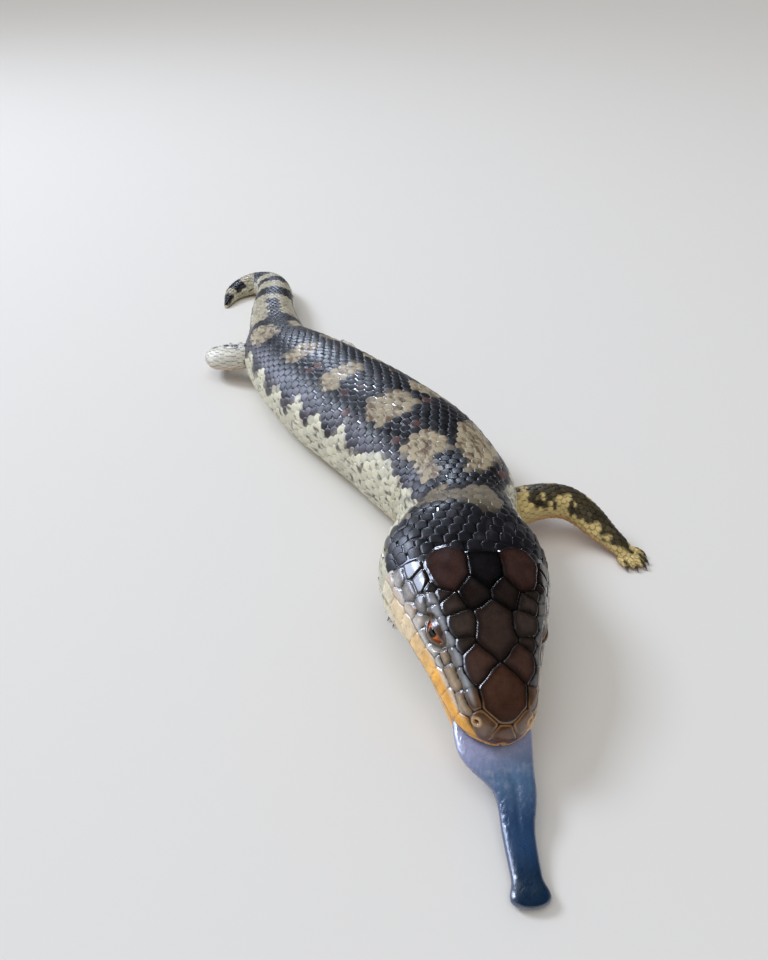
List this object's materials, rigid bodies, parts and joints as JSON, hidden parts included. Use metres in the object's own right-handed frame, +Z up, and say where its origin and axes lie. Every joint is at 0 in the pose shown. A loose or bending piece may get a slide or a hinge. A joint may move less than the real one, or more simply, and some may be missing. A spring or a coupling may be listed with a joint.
{
  "type": "blue-tongued skink",
  "caption": "Still, life-size model of a young blotched blue-tongued skink, lying on its belly with its head raised and its blue tongue out to the floor.",
  "frame": {"origin": "middle of the whole animal's box, on the floor under it", "axes": "+Z up from the floor, -Y towards the head and +Y towards the tail, +X towards the animal's left at the head"},
  "size_m": [0.0804, 0.1574, 0.0186],
  "materials": {
    "scaled_skin": "smooth overlapping scales, satin to glossy, blackish with pale tan blotches",
    "head_shields": "large glossy horn shields, dark brown above, yellow at the lips",
    "tongue": "wet, lavender at the root to deep blue at the tip",
    "eye": "wet glossy, orange-red iris with a black pupil"
  },
  "bodies": {
    "root": {"head": "head_shields", "lower_jaw": "head_shields", "tongue": "tongue", "eye_left": "eye", "eye_right": "eye", "neck": "scaled_skin", "torso": "scaled_skin", "tail_base": "scaled_skin", "tail_middle": "scaled_skin", "tail_end": "scaled_skin", "upper_arm_left": "scaled_skin", "forearm_left": "scaled_skin", "forefoot_left": "scaled_skin", "upper_arm_right": "scaled_skin", "forearm_right": "scaled_skin", "forefoot_right": "scaled_skin", "thigh_left": "scaled_skin", "shank_left": "scaled_skin", "hindfoot_left": "scaled_skin", "thigh_right": "scaled_skin", "shank_right": "scaled_skin", "hindfoot_right": "scaled_skin"}
  },
  "joints": []
}
